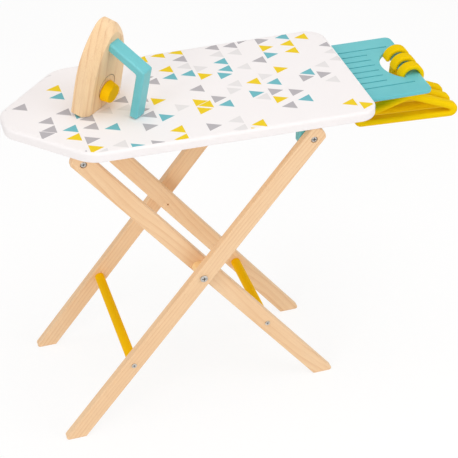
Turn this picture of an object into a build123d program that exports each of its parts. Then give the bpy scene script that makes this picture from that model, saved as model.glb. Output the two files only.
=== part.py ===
from build123d import *
import os
from math import atan2, cos, degrees, radians, sin, sqrt, tan

# Toy ironing board: a padded board on a folding cross frame, with a hanger rack,
# three coat hangers and a toy iron standing on its heel.
# Millimetres. While it is modelled, x = 0 is the middle of the board, +X points to the
# rack, +Y to the back and z = 0 is the floor. The finished parts are moved together so
# that the origin is the middle of the object's box, on the floor.

# driving dimensions: board
board_length = 502.0
board_width = 244.0
board_height = 505.0            # floor to the top of the cover
end_corner_radius = 28.0
nose_flat_width = 44.0          # before its corners are rounded
nose_taper_length = 95.0
nose_corner_radius = 25.0
shoulder_radius = 45.0
side_taper = 6.0                # how much narrower each side is at the shoulder
nose_half_turn = 22.5           # degrees, half of the turn into the nose's taper
core_thickness = 9.4
pad_thickness = 3.2
cover_thickness = 1.0
cover_edge_radius = 4.2
cover_hem_width = 14.0
cloth_gap = 0.2

# driving dimensions: leg frames
leg_lean = 52.55326             # degrees, outer legs above the level
crossing_share = 0.4391892      # top pivot to crossing, as a share of the leg down to the floor
crossing_x = -1.8               # crossing, from the middle of the board
inner_foot_reach = 8.5          # how much farther the inner feet stand from the crossing
leg_width = 27.0
leg_thickness = 12.0
leg_edge_radius = 1.6
leg_end_radius = 17.5           # rounded top, about the pivot
toe_radius = 4.0
outer_frame_width = 231.0       # over the outer faces of the outer legs
frame_gap = 18.3                # between an outer leg and an inner leg
pivot_drop = 20.0               # underside of the board to the top pivots
rail_rise = 156.0               # floor to the lower rails, along the leg
rail_diameter = 14.8
sliding_gap = 0.2
running_clearance = 0.05

# driving dimensions: fasteners
bolt_diameter = 6.0
bolt_head_diameter = 11.0
bolt_head_height = 2.4
sunk_head_diameter = 8.6
sunk_head_height = 2.6
sunk_head_depth = 3.2
sunk_head_side_gap = 0.7
nut_diameter = 9.2
nut_height = 8.0                # sunk in the inner leg, from the spacer's side
nut_bite = 6.0                  # how far the crossing bolt enters the nut
nut_hole_diameter = 3.2         # drilled on to the inner leg's inside face
recess_length = 6.0             # crossed slot in a head
recess_width = 1.2
recess_depth = 1.0
spacer_diameter = 17.5
screw_diameter = 3.2
screw_head_diameter = 7.6
screw_head_height = 1.4
screw_length = 34.0
cleat_screw_bite = 7.0          # how far an upright screw enters the core
rack_screw_bite = 2.4
cut_overrun = 5.0

# driving dimensions: blocks under the board
cleat_length = 31.0
cleat_shift = -1.2              # middle of the cleat, from the pivot
cleat_depth = 35.0
cleat_screw_inset = 7.0
block_edge_radius = 2.0
pivot_tip_wall = 2.0            # wood left behind the end of a pivot bolt
rest_reach = 16.0               # from the rail's middle towards the nose
rest_width = 20.0
rest_spacing = 100.0            # between the middles of the two rest blocks
rest_gap = 0.4
rest_screw_sink = 2.4
stop_length = 26.0
stop_drop = 10.0                # below the rest blocks

# driving dimensions: rack
rack_width = 160.0
rack_reach = 96.7               # from the board's end to the rack's end
rack_lap = 62.0                 # under the board
rack_thickness = 6.0
rack_corner_radius = 9.0
rack_edge_radius = 1.5
rack_bar_width = 22.5
rack_hole_radius = 45.0
hole_mouth_share = 0.8618       # half width of the hand hole at the bar, as a share of its radius
rack_hole_corner_radius = 2.0
groove_count = 8
groove_pitch = 14.95
groove_width = 2.4
groove_depth = 1.4
groove_lap = 8.0                # start of a groove, inside the board's end
groove_short = 44.0             # from the board's end
groove_long = 81.0
rack_screw_spacing = 110.0
rack_screw_inset = 15.0

# driving dimensions: hangers
hanger_count = 3
hanger_names = ["front", "middle", "rear"]
hanger_pitch = 25.8
hanger_thickness = 17.0
hanger_offset = 2.2             # hook's centre to the arms' middle, towards the rack end
hanger_tip_spacing = 142.0      # between the centres of the rounded ends
hanger_tip_radius = 11.2
hanger_tip_drop = 64.9          # hook centre down to the rounded ends' centres
hanger_arm_width = 10.2
hanger_bar_width = 10.4
hanger_arm_slope = 20.0         # degrees
hanger_tilt = 2.8               # degrees, rack end low
hanger_edge_radius = 5.6
hanger_hole_radius = 4.2
hanger_slot_end_radius = 1.5
hanger_apex_radius = 6.0
hanger_peak_radius = 10.0
hanger_neck_width = 10.5
hanger_neck_radius = 3.0
neck_foot_share = 0.95          # of the arms' width, neck's depth below their peak
hook_wall = 6.8
hook_edge_radius = 3.2
hook_sag = 5.2                  # rack's top down to the hook's centre
hook_clearance = 0.35
hook_tip_angle = 173.0          # degrees, from +X over the top

# driving dimensions: iron
iron_length = 131.5
iron_width = 90.6
iron_thickness = 24.8
iron_bevel_drop = 7.6
iron_bevel_width = 9.5
iron_edge_radius = 1.5
iron_lean = 11.0                # degrees, towards the handle
iron_turn = 41.75               # degrees about the vertical
iron_heel_x = -108.9
iron_heel_y = -0.4
iron_gap = 0.3
handle_seat = 100.6             # heel to the middle of the arm at the body
handle_bend = 84.3              # heel to the bend
handle_reach = 51.4             # body face to the middle of the grip
handle_width = 21.0
handle_thickness = 12.1
handle_edge_radius = 2.6
handle_bend_radius = 3.0
handle_screw_diameter = 4.0
handle_screw_head_diameter = 8.0
handle_screw_head_height = 3.0
handle_screw_bite = 13.0
handle_screw_drop = 2.4         # below the middle of the arm's seat, as the arm slopes
dial_diameter = 31.4
dial_face_diameter = 26.4
dial_height = 12.8
dial_place = 26.8               # heel to the dial's centre
dial_shift = -3.0               # across the iron
dial_edge_radius = 1.2
dial_gap = 0.3
dial_pin_diameter = 5.0
dial_pin_reach = 9.0            # into the dial
dial_pin_bite = 14.0            # into the body
dial_pin_chamfer = 0.5
ring_groove_radius = 18.0
ring_place = 32.2               # heel to the ring line's centre
ring_shift = -1.6               # across the iron
ring_groove_width = 0.9
ring_groove_depth = 0.6

tip_bevel_share = 1.2           # the bevel at the tip, beside the bevel's width

# shares of the iron's length and half width, from heel to tip
side_length_shares = [0.307, 0.615, 0.82, 0.945]
side_width_shares = [0.995, 0.886, 0.617, 0.330]

# heights
cover_bottom = board_height - cover_thickness * 2 - cloth_gap * 2 - pad_thickness - core_thickness
core_bottom = cover_bottom + cover_thickness + cloth_gap
core_top = core_bottom + core_thickness
pad_top = core_top + pad_thickness
pivot_z = cover_bottom - pivot_drop
rack_top = core_bottom + rack_thickness

# the cross frame: an equal-sided scissor, so the inner legs' tops run level under the board
leg_length = pivot_z / sin(radians(leg_lean))          # top pivot to the floor
leg_upper = leg_length * crossing_share
leg_lower = leg_length - leg_upper
rail_drop = leg_length - rail_rise
pivot_x = leg_upper * cos(radians(leg_lean))           # top pivots, from the crossing
crossing_z = leg_lower * sin(radians(leg_lean))
outer_face = outer_frame_width / 2
outer_inside = outer_face - leg_thickness
inner_face = outer_inside - frame_gap
inner_inside = inner_face - leg_thickness
outer_foot_x = leg_lower * cos(radians(leg_lean))
inner_angle = degrees(atan2(pivot_z, pivot_x + outer_foot_x + inner_foot_reach))

# the rack's bar, its hand hole and the hooks over it
hole_mouth = rack_hole_radius * hole_mouth_share
board_end = board_length / 2
rack_end = board_end + rack_reach
bar_inside = rack_end - rack_bar_width
bar_x = rack_end - rack_bar_width / 2
bar_corner = sqrt((rack_bar_width / 2 - rack_edge_radius) ** 2 + (hook_sag - rack_edge_radius) ** 2)
hook_inner = bar_corner + rack_edge_radius + hook_clearance
hook_outer = hook_inner + hook_wall
hook_z = rack_top - hook_sag
arms_peak = hanger_tip_radius / cos(radians(hanger_arm_slope)) - hanger_tip_drop
arms_peak += hanger_tip_spacing / 2 * tan(radians(hanger_arm_slope))

screw_place = handle_seat - handle_screw_drop
bolt_radius = bolt_diameter / 2
bore_radius = bolt_radius + running_clearance
nut_seat_radius = nut_diameter / 2 + running_clearance
screw_radius = screw_diameter / 2
pilot_radius = screw_radius + running_clearance
rail_radius = rail_diameter / 2
sunk_radius = sunk_head_diameter / 2 + sunk_head_side_gap


def box_between(low, high):
    """Box from its lowest to its highest corner."""
    size = [b - a for a, b in zip(low, high)]
    middle = [(a + b) / 2 for a, b in zip(low, high)]
    return Pos(*middle) * Box(*size)


def rod_y(radius, x, y_from, y_to, z):
    """Round bar along Y."""
    middle = (y_from + y_to) / 2
    return Pos(x, middle, z) * Rot(90, 0, 0) * Cylinder(radius, abs(y_to - y_from))


def rod_z(radius, x, y, z_from, z_to):
    """Upright round bar."""
    return Pos(x, y, (z_from + z_to) / 2) * Cylinder(radius, z_to - z_from)


def cross_recess(length, width, depth):
    """Two crossed slots that end at z = 0."""
    slot = Box(length, width, depth)
    return Pos(0, 0, -depth / 2) * (slot + Rot(0, 0, 90) * slot)


def headed_pin(shank_radius, head_radius, head_height, length, recess):
    """Pin along -Z with its head above z = 0 and a crossed slot in the head."""
    head = Pos(0, 0, head_height / 2) * Cylinder(head_radius, head_height)
    head = fillet(head.edges().sort_by(Axis.Z)[-1], head_height / 3)
    shank = Pos(0, 0, -length / 2) * Cylinder(shank_radius, length)
    width = recess * recess_width / recess_length
    slots = Pos(0, 0, head_height) * cross_recess(recess, width, recess_depth)
    return head + shank - slots


def facing(sign):
    """Turns a pin along -Z so that its head looks to +Y for sign 1, to -Y for sign -1."""
    return Rot(-90 * sign, 0, 0)


# board outline

def board_face(inset):
    """Half outline of the board, mirrored, drawn in by inset all round."""
    half = board_width / 2 - inset
    shoulder = half - side_taper
    end = board_end - inset
    drawn_in = inset * tan(radians(nose_half_turn))
    nose_half = nose_flat_width / 2 - drawn_in
    shoulder_x = -board_end + nose_taper_length + drawn_in
    points = [(end, half), (shoulder_x, shoulder), (-end, nose_half)]
    points += [(x, -y) for x, y in reversed(points)]
    face = make_face(Polyline(*points, close=True))

    def corners(x, y):
        return face.vertices().filter_by(lambda v: abs(v.X - x) + abs(abs(v.Y) - y) < cloth_gap)

    face = fillet(corners(end, half), end_corner_radius - inset)
    face = fillet(corners(shoulder_x, shoulder), shoulder_radius - inset)
    return fillet(corners(-end, nose_half), nose_corner_radius - inset)


def slab(inset, z_low, z_high):
    """Board-shaped slab between two heights."""
    return Pos(0, 0, z_low) * extrude(board_face(inset), z_high - z_low)


def make_cover():
    """Fitted cloth cover: top, side band and a hem turned under the board."""
    outside = slab(0, cover_bottom, board_height)
    outside = fillet(outside.faces().sort_by(Axis.Z)[-1].outer_wire().edges(), cover_edge_radius)
    inside = slab(cover_thickness, cover_bottom + cover_thickness, board_height - cover_thickness)
    inner_radius = cover_edge_radius - cover_thickness
    inside = fillet(inside.faces().sort_by(Axis.Z)[-1].outer_wire().edges(), inner_radius)
    mouth = slab(cover_hem_width, cover_bottom - cut_overrun, cover_bottom + core_thickness)
    gate_half = rack_width / 2 + cloth_gap
    gate = box_between((board_end - rack_lap, -gate_half, cover_bottom - cut_overrun),
                       (board_end + cut_overrun, gate_half, rack_top + cloth_gap))
    return outside - inside - mouth - gate


def upright_pilot(x, y, bite):
    """Hole for an upright screw, from below the board."""
    return rod_z(pilot_radius, x, y, core_bottom - cut_overrun, core_bottom + bite)


def cleat_screw_places():
    reach = cleat_length / 2 - cleat_screw_inset
    return [(cleat_x + step * reach, side * cleat_y) for side in (-1, 1) for step in (-1, 1)]


def rest_screw_places():
    return [(rest_x - rest_reach / 2, side * rest_spacing / 2) for side in (-1, 1)]


def stop_screw_places():
    return [(stop_x + stop_length / 2, side * rest_spacing / 2) for side in (-1, 1)]


def rack_screw_places():
    xs = [board_end - rack_lap + rack_screw_inset, board_end - rack_screw_inset]
    return [(x, side * rack_screw_spacing / 2) for side in (-1, 1) for x in xs]


cleat_thickness = frame_gap - 2 * sliding_gap
cleat_y = (inner_face + outer_inside) / 2
pivot_tip_y = cleat_y - cleat_thickness / 2 + pivot_tip_wall
top_x = crossing_x + pivot_x
cleat_x = top_x + cleat_shift
rest_x = crossing_x - pivot_x
rest_bottom = pivot_z + rail_radius + rest_gap
stop_x = rest_x + rail_radius + rest_gap


def make_core():
    """Plywood panel with a rebate for the rack and pilot holes."""
    core = slab(cover_thickness + cloth_gap, core_bottom, core_top)
    rebate = box_between((board_end - rack_lap, -rack_width / 2, core_bottom - cut_overrun),
                         (board_end + cut_overrun, rack_width / 2, rack_top))
    core -= rebate
    for x, y in cleat_screw_places() + rest_screw_places() + stop_screw_places():
        core -= upright_pilot(x, y, cleat_screw_bite)
    for x, y in rack_screw_places():
        core -= upright_pilot(x, y, rack_thickness + rack_screw_bite)
    return core


def make_pad():
    """Thin foam pad on the panel."""
    pad = slab(cover_thickness + cloth_gap, core_top, pad_top)
    pad_radius = cover_edge_radius - cover_thickness - cloth_gap
    return fillet(pad.faces().sort_by(Axis.Z)[-1].outer_wire().edges(), pad_radius)


# rack

def make_rack():
    """Slatted-look plate with a hand hole and an end bar for the hooks."""
    x_from = board_end - rack_lap
    face = Pos((x_from + rack_end) / 2, 0) * RectangleRounded(
        rack_end - x_from, rack_width, rack_corner_radius)
    hole = Pos(bar_inside + sqrt(rack_hole_radius ** 2 - hole_mouth ** 2), 0) * Circle(rack_hole_radius)
    beyond = 3 * rack_hole_radius
    beside_bar = Pos(bar_inside + beyond / 2, 0) * Rectangle(beyond, beyond)
    hole = hole - beside_bar
    hole = fillet(hole.vertices(), rack_hole_corner_radius)
    plate = Pos(0, 0, core_bottom) * extrude(face - hole, rack_thickness)
    rims = plate.faces().filter_by(Axis.Z)
    plate = fillet([e for f in rims for e in f.edges()], rack_edge_radius)
    for index in range(groove_count):
        y = (index - (groove_count - 1) / 2) * groove_pitch
        at_side = index in (0, groove_count - 1)
        x_to = board_end + (groove_long if at_side else groove_short)
        x_start = board_end - groove_lap
        slot = Pos((x_start + x_to) / 2, y) * SlotOverall(x_to - x_start, groove_width)
        plate -= Pos(0, 0, rack_top - groove_depth) * extrude(slot, groove_depth + cut_overrun)
    for x, y in rack_screw_places():
        plate -= upright_pilot(x, y, rack_thickness + cut_overrun)
    return plate




# blocks under the board

def soften(block):
    """Rounds every edge of a block but those against the board."""
    edges = block.edges().filter_by(lambda e: e.center().Z < core_bottom - cloth_gap)
    return fillet(edges, block_edge_radius)


def make_cleat(side):
    """Block that carries the outer legs' top pivot."""
    low = (cleat_x - cleat_length / 2, cleat_y - cleat_thickness / 2, core_bottom - cleat_depth)
    high = (cleat_x + cleat_length / 2, cleat_y + cleat_thickness / 2, core_bottom)
    block = soften(box_between(low, high))
    for x, y in cleat_screw_places()[2:]:
        block -= rod_z(pilot_radius, x, y, low[2] - cut_overrun, core_bottom + cut_overrun)
    block -= rod_y(bore_radius, top_x, pivot_tip_y - sliding_gap, outer_face, pivot_z)
    return block if side > 0 else mirror(block, about=Plane.XZ)


def under_block(x_low, x_high, bottom, screw_place, sink):
    """Rear block under the board, softened, with a hole for its screw."""
    y = rest_spacing / 2
    low, high = (x_low, y - rest_width / 2, bottom), (x_high, y + rest_width / 2, core_bottom)
    block = soften(box_between(low, high))
    block -= rod_z(pilot_radius, *screw_place, bottom - cut_overrun, core_bottom + cut_overrun)
    if sink > 0:
        radius = screw_head_diameter / 2 + running_clearance
        block -= rod_z(radius, *screw_place, bottom - cut_overrun, bottom + sink)
    return block


def make_rest():
    """Block that rests on the inner legs' top rail; its screw's head is sunk clear of the rail."""
    place = rest_screw_places()[1]
    return under_block(rest_x - rest_reach, stop_x - sliding_gap, rest_bottom, place, rest_screw_sink)


def make_stop():
    """Block behind the rail, which ends the opening of the legs."""
    return under_block(stop_x, stop_x + stop_length, rest_bottom - stop_drop, stop_screw_places()[1], 0)


def upright_screws(places, z_head, z_tip):
    """Screws driven up into the panel."""
    one = headed_pin(screw_radius, screw_head_diameter / 2, screw_head_height,
                     z_tip - z_head, screw_head_diameter / 2)
    return [Pos(x, y, z_head) * Rot(180, 0, 0) * one for x, y in places]


# legs

def leg_place(angle, down):
    """Place on a leg's middle line, measured down from its top pivot."""
    return crossing_x + pivot_x - down * cos(radians(angle)), pivot_z - down * sin(radians(angle))


def make_leg(y_low, y_high, angle, bore_list):
    """Leg that rises to +X: rounded top, level foot with a rounded toe."""
    thickness = y_high - y_low
    reach = leg_length + leg_width
    bar = Pos(-reach / 2, 0, 0) * Box(reach, thickness, leg_width)
    head = Rot(90, 0, 0) * Cylinder(leg_end_radius, thickness)
    head &= Box(2 * leg_end_radius, thickness, leg_width)
    top_x, top_z = leg_place(angle, 0)
    leg = Pos(top_x, (y_low + y_high) / 2, top_z) * Rot(0, -angle, 0) * (bar + head)
    leg &= box_between((-reach, y_low, 0), (reach, y_high, board_height))
    toe = leg.edges().filter_by(Axis.Y).group_by(Axis.Z)[0].sort_by(Axis.X)[0]
    leg = fillet(toe, toe_radius)
    sides = leg.faces().sort_by(Axis.Y)
    leg = fillet(list(sides[0].edges()) + list(sides[-1].edges()), leg_edge_radius)
    for place, radius, y_from, y_to in bore_list:
        leg -= rod_y(radius, place[0], y_from, y_to, place[1])
    return leg


def make_outer_leg():
    """Rear outer leg: sunk pivot head, crossing bolt and lower rail screw."""
    below, past = outer_inside - cut_overrun, outer_face + cut_overrun
    bores = [(leg_place(leg_lean, 0), bore_radius, below, past),
             (leg_place(leg_lean, 0), sunk_radius, outer_face - sunk_head_depth, past),
             ((crossing_x, crossing_z), bore_radius, below, past),
             (leg_place(leg_lean, rail_drop), pilot_radius, below, past)]
    return make_leg(outer_inside, outer_face, leg_lean, bores)


def make_inner_leg():
    """Rear inner leg, still rising to +X: top rail screw, crossing bolt, lower rail screw."""
    below, past = inner_inside - cut_overrun, inner_face + cut_overrun
    bores = [(leg_place(inner_angle, 0), pilot_radius, below, past),
             (leg_place(inner_angle, 0), sunk_radius, inner_face - sunk_head_depth, past),
             ((crossing_x, crossing_z), nut_hole_diameter / 2, below, past),
             ((crossing_x, crossing_z), nut_seat_radius, inner_face - nut_height, past),
             (leg_place(inner_angle, rail_drop), pilot_radius, below, past)]
    return make_leg(inner_inside, inner_face, inner_angle, bores)


def both_sides(shape):
    """A piece at the back and its mirror at the front."""
    return [mirror(shape, about=Plane.XZ), shape]


def to_nose(shape):
    """Turns a piece of the outer frame's lean into the inner frame's."""
    return mirror(shape, about=Plane.YZ.offset(crossing_x))


def make_rail(x, z, half_length):
    """Round rail between two legs, drilled at both ends for its screws."""
    rail = rod_y(rail_radius, x, -half_length, half_length, z)
    rail = fillet(rail.edges().filter_by(GeomType.CIRCLE), rail_radius / 12)
    depth = screw_length
    rail -= rod_y(pilot_radius, x, half_length - depth, half_length + cut_overrun, z)
    rail -= rod_y(pilot_radius, x, -half_length - cut_overrun, -half_length + depth, z)
    return rail


def side_screw(x, face_y, z, head_radius, head_height):
    """Screw driven in from the rear face of a leg."""
    pin = headed_pin(screw_radius, head_radius, head_height, screw_length, head_radius)
    return Pos(x, face_y, z) * facing(1) * pin


def crossing_bolt():
    """Bolt from the outer leg's face, through the spacer, into the nut sunk in the inner leg."""
    length = outer_face - inner_face + nut_bite
    pin = headed_pin(bolt_radius, bolt_head_diameter / 2, bolt_head_height, length, recess_length)
    return Pos(crossing_x, outer_face, crossing_z) * facing(1) * pin


def crossing_nut():
    """Round nut sunk in the inner leg, flush with its outer face, with a blind bore."""
    nut = rod_y(nut_diameter / 2, crossing_x, inner_face - nut_height, inner_face, crossing_z)
    bore_end = inner_face - nut_bite - running_clearance
    return nut - rod_y(bore_radius, crossing_x, bore_end, inner_face + cut_overrun, crossing_z)


def crossing_spacer():
    """Round wooden spacer between an outer and an inner leg."""
    spacer = rod_y(spacer_diameter / 2, crossing_x, inner_face + sliding_gap, outer_inside, crossing_z)
    return spacer - rod_y(bore_radius, crossing_x, inner_face - cut_overrun, outer_face, crossing_z)


def pivot_bolt():
    """Top pivot: sunk head in the outer leg, shank in the cleat."""
    seat = outer_face - sunk_head_depth
    length = seat - pivot_tip_y
    pin = headed_pin(bolt_radius, sunk_head_diameter / 2, sunk_head_height, length, recess_length)
    return Pos(top_x, seat, pivot_z) * facing(1) * pin


# hangers

def arms_face():
    """Outline of the arms and the bar below them, with the hook's centre at the origin."""
    slope = radians(hanger_arm_slope)
    tip_x = hanger_tip_spacing / 2
    bottom = -hanger_tip_drop - hanger_tip_radius
    edge_x = tip_x + hanger_tip_radius * sin(slope)
    edge_z = -hanger_tip_drop + hanger_tip_radius * cos(slope)
    outline = make_face(Polyline((-tip_x, bottom), (tip_x, bottom), (edge_x, edge_z),
                                 (0, arms_peak), (-edge_x, edge_z), close=True))
    outline = fillet(outline.vertices().sort_by(Axis.Y)[-1], hanger_peak_radius)
    outline += [Pos(side * tip_x, -hanger_tip_drop) * Circle(hanger_tip_radius) for side in (-1, 1)]

    inner_top = arms_peak - hanger_arm_width / cos(slope)
    inner_bottom = bottom + hanger_bar_width
    inner_x = (inner_top - inner_bottom) / tan(slope)
    inner = make_face(Polyline((-inner_x, inner_bottom), (inner_x, inner_bottom),
                               (0, inner_top), close=True))
    apex = inner.vertices().sort_by(Axis.Y)[-1]
    inner = fillet(apex, hanger_apex_radius)
    inner = fillet([inner.vertices().sort_by(Axis.X)[0], inner.vertices().sort_by(Axis.X)[-1]],
                   hanger_slot_end_radius)
    return Pos(hanger_offset, 0) * (outline - inner)


def hook_face():
    """Outline of the hook, with the neck that runs down into the arms."""
    foot = arms_peak - hanger_arm_width * neck_foot_share
    neck = Pos(0, (foot - hook_inner) / 2) * Rectangle(hanger_neck_width, -hook_inner - foot)
    face = hook_band() + neck
    return fillet(face.vertices().filter_by(is_neck_corner), hanger_neck_radius)


def hook_band():
    """Band of the hook from its neck, over the top, to its round tip."""
    middle = (hook_inner + hook_outer) / 2
    end = radians(hook_tip_angle)
    far = 2 * hook_outer
    mouth = make_face(Polyline((0, 0), (0, -far), (far * cos(end), far * sin(end)), close=True))
    tip = Pos(middle * cos(end), middle * sin(end)) * Circle(hook_wall / 2)
    return Circle(hook_outer) - Circle(hook_inner) - mouth + tip


def make_hanger(y):
    """Hanger cut from a thick board: arms rounded well over, hook as far as its wall allows."""
    arms = extrude(arms_face(), hanger_thickness)
    arms = fillet([e for f in arms.faces().filter_by(Axis.Z) for e in f.outer_wire().edges()],
                  hanger_edge_radius)
    holes = [w for f in arms.faces().filter_by(Axis.Z) for w in f.inner_wires()]
    arms = fillet([e for w in holes for e in w.edges()], hanger_hole_radius)
    hook = extrude(hook_face(), hanger_thickness)
    hook = fillet([e for f in hook.faces().filter_by(Axis.Z) for e in f.edges()], hook_edge_radius)
    upright = Pos(0, hanger_thickness / 2, 0) * Rot(90, 0, 0) * (arms + hook)
    return Pos(bar_x, y, hook_z) * Rot(0, hanger_tilt, 0) * upright


def is_neck_corner(vertex):
    """Corners of the neck at the hook's ring and at the hook's mouth, not those inside the arms."""
    at_side = abs(abs(vertex.X) - hanger_neck_width / 2) < running_clearance
    return at_side and vertex.Y > -hook_outer


# iron, in its own frame: x across, y from heel to tip, z out of the upper face

def iron_face(inset, tip_inset):
    """Outline of the iron: square heel, bowed sides, rounded tip."""
    half = iron_width / 2 - inset
    length = iron_length - tip_inset
    places = list(zip(side_width_shares, side_length_shares))
    right = [(half, 0)] + [(half * w, length * s) for w, s in places] + [(0, length)]
    left = [(-x, y) for x, y in right]
    side = Spline(*right, tangents=[(0, 1), (-1, 0)])
    other = Spline(*left, tangents=[(0, 1), (1, 0)])
    heel = Line((-half, 0), (half, 0))
    return make_face([side, other, heel])


def make_iron_body():
    """Solid wooden body with a wide bevel round its upper edge."""
    tip_inset = iron_bevel_width * tip_bevel_share
    lower = Pos(0, 0, -iron_thickness) * extrude(iron_face(0, 0), iron_thickness - iron_bevel_drop)
    upper = loft([Pos(0, 0, -iron_bevel_drop) * iron_face(0, 0), iron_face(iron_bevel_width, tip_inset)],
                 ruled=True)
    body = lower + upper
    sole = body.faces().sort_by(Axis.Z)[0]
    body = fillet(sole.edges(), iron_edge_radius)
    half_groove = ring_groove_width / 2
    ring = Circle(ring_groove_radius + half_groove) - Circle(ring_groove_radius - half_groove)
    body -= Pos(ring_shift, ring_place, -ring_groove_depth) * extrude(
        ring, ring_groove_depth + cut_overrun)
    body -= Pos(dial_shift, dial_place, -dial_pin_bite / 2) * Cylinder(
        dial_pin_diameter / 2 + running_clearance, dial_pin_bite)
    body -= Pos(0, screw_place, -iron_thickness / 2) * Cylinder(
        handle_screw_diameter / 2 + running_clearance, iron_thickness + cut_overrun)
    sunk = handle_screw_head_height + running_clearance
    body -= Pos(0, screw_place, -iron_thickness + sunk / 2) * Cylinder(
        handle_screw_head_diameter / 2 + running_clearance, sunk)
    return body


def make_iron_handle():
    """Bent bar: a sloping arm from the body and a grip that ends level with the heel."""
    arm_angle = atan2(handle_bend - handle_seat, handle_reach)
    half = handle_thickness / 2
    across = half / cos(arm_angle)
    lean = radians(iron_lean)
    rounding_lift = handle_edge_radius * (cos(lean) + sin(lean) - 1) / cos(lean)
    foot = (handle_reach + half) * tan(lean) - rounding_lift
    outer_x, inner_x = handle_reach + half, handle_reach - half
    slope = tan(arm_angle)
    points = [(0, handle_seat + across), (outer_x, handle_seat + across + outer_x * slope),
              (outer_x, foot), (inner_x, foot),
              (inner_x, handle_seat - across + inner_x * slope), (0, handle_seat - across)]
    face = make_face(Polyline(*points, close=True))
    bend = face.vertices().filter_by(lambda v: v.X > half and v.Y > foot + half)
    face = fillet(bend, handle_bend_radius)
    bar = extrude(face, handle_width)
    rims = bar.faces().filter_by(Axis.Z)
    edges = [e for f in rims for e in f.edges() if e.center().X > running_clearance]
    end = bar.faces().sort_by(Axis.Y)[0]
    edges += [e for e in end.edges() if abs(e.center().Z - handle_width / 2) < running_clearance]
    bar = fillet(edges, handle_edge_radius)
    bar = Plane(origin=(handle_width / 2, 0, 0), x_dir=(0, 0, 1), z_dir=(-1, 0, 0)).location * bar
    return bar - Pos(0, screw_place, handle_screw_bite / 2) * Cylinder(
        handle_screw_diameter / 2 + running_clearance, handle_screw_bite)


def make_handle_screw():
    """Screw from the sole into the handle's arm."""
    length = iron_thickness - handle_screw_head_height + handle_screw_bite - dial_gap
    pin = headed_pin(handle_screw_diameter / 2, handle_screw_head_diameter / 2,
                     handle_screw_head_height - dial_gap, length, recess_length)
    return Pos(0, screw_place, -iron_thickness + handle_screw_head_height) * Rot(180, 0, 0) * pin


def make_dial():
    """Tapered dial with a plain face, turning on a hidden pin."""
    dial = Pos(0, 0, dial_height / 2) * Cone(dial_diameter / 2, dial_face_diameter / 2, dial_height)
    dial = fillet(dial.edges().filter_by(GeomType.CIRCLE), dial_edge_radius)
    depth = dial_pin_reach + running_clearance
    dial -= Pos(0, 0, depth / 2) * Cylinder(dial_pin_diameter / 2 + running_clearance, depth)
    return Pos(dial_shift, dial_place, dial_gap) * dial


def make_dial_pin():
    """Plain pin fixed in the body, which the dial turns on."""
    length = dial_pin_bite - running_clearance + dial_gap + dial_pin_reach
    pin = Cylinder(dial_pin_diameter / 2, length)
    pin = chamfer(pin.edges().filter_by(GeomType.CIRCLE), dial_pin_chamfer)
    return Pos(dial_shift, dial_place, dial_gap + dial_pin_reach - length / 2) * pin


def iron_location():
    """Stands the iron on its heel edge and the end of its grip."""
    turn, lean = radians(iron_turn), radians(iron_lean)
    across = (cos(turn), sin(turn), 0)
    out = (cos(lean) * sin(turn), -cos(lean) * cos(turn), -sin(lean))
    heel = (iron_heel_x, iron_heel_y, board_height + iron_gap)
    return Plane(origin=heel, x_dir=across, z_dir=out).location


# nodes

def make_nodes():
    """Every piece by the name of its node."""
    nodes = {}
    nodes["board_core"] = make_core()
    nodes["board_pad"] = make_pad()
    nodes["board_cover"] = make_cover()
    nodes["hanger_rack"] = make_rack()
    rack_tip = core_bottom + rack_thickness + rack_screw_bite - running_clearance
    nodes["rack_screws"] = upright_screws(rack_screw_places(), core_bottom, rack_tip)
    for name, side in (("front", -1), ("rear", 1)):
        nodes["pivot_cleat_" + name] = make_cleat(side)
    bite_tip = core_bottom + cleat_screw_bite - running_clearance
    nodes["cleat_screws"] = upright_screws(cleat_screw_places(), core_bottom - cleat_depth, bite_tip)
    nodes["rest_screws"] = upright_screws(rest_screw_places(), rest_bottom + rest_screw_sink, bite_tip)
    nodes["stop_screws"] = upright_screws(stop_screw_places(), rest_bottom - stop_drop, bite_tip)
    nodes["pivot_bolts"] = both_sides(pivot_bolt())

    pairs = [("rest_block", make_rest()), ("stop_block", make_stop()),
             ("outer_leg", make_outer_leg()), ("inner_leg", to_nose(make_inner_leg())),
             ("crossing_bolt", crossing_bolt()), ("crossing_nut", crossing_nut()),
             ("crossing_spacer", crossing_spacer())]
    for name, shape in pairs:
        nodes[name + "_front"], nodes[name + "_rear"] = both_sides(shape)
    outer_x, outer_z = leg_place(leg_lean, rail_drop)
    mirrored_x, inner_z = leg_place(inner_angle, rail_drop)
    inner_x = 2 * crossing_x - mirrored_x
    nodes["outer_lower_rail"] = make_rail(outer_x, outer_z, outer_inside)
    nodes["inner_lower_rail"] = make_rail(inner_x, inner_z, inner_inside)
    nodes["inner_top_rail"] = make_rail(rest_x, pivot_z, inner_inside)
    head = screw_head_diameter / 2
    nodes["outer_rail_screws"] = both_sides(
        side_screw(outer_x, outer_face, outer_z, head, screw_head_height))
    nodes["inner_rail_screws"] = both_sides(
        side_screw(inner_x, inner_face, inner_z, head, screw_head_height))
    nodes["top_rail_screws"] = both_sides(
        side_screw(rest_x, inner_face - sunk_head_depth, pivot_z, sunk_head_diameter / 2, sunk_head_height))

    for index, name in enumerate(hanger_names):
        y = (index - (hanger_count - 1) / 2) * hanger_pitch
        nodes["coat_hanger_" + name] = make_hanger(y)

    stand = iron_location()
    iron_parts = {"iron_body": make_iron_body(), "iron_handle": make_iron_handle(),
                  "handle_screw": make_handle_screw(), "iron_dial": make_dial(),
                  "dial_pin": make_dial_pin()}
    for name, shape in iron_parts.items():
        nodes[name] = stand * shape
    return nodes


def solids_of(shape):
    """The separate solids of a node."""
    items = shape if isinstance(shape, list) else [shape]
    return [solid for item in items for solid in item.solids()]


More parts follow.
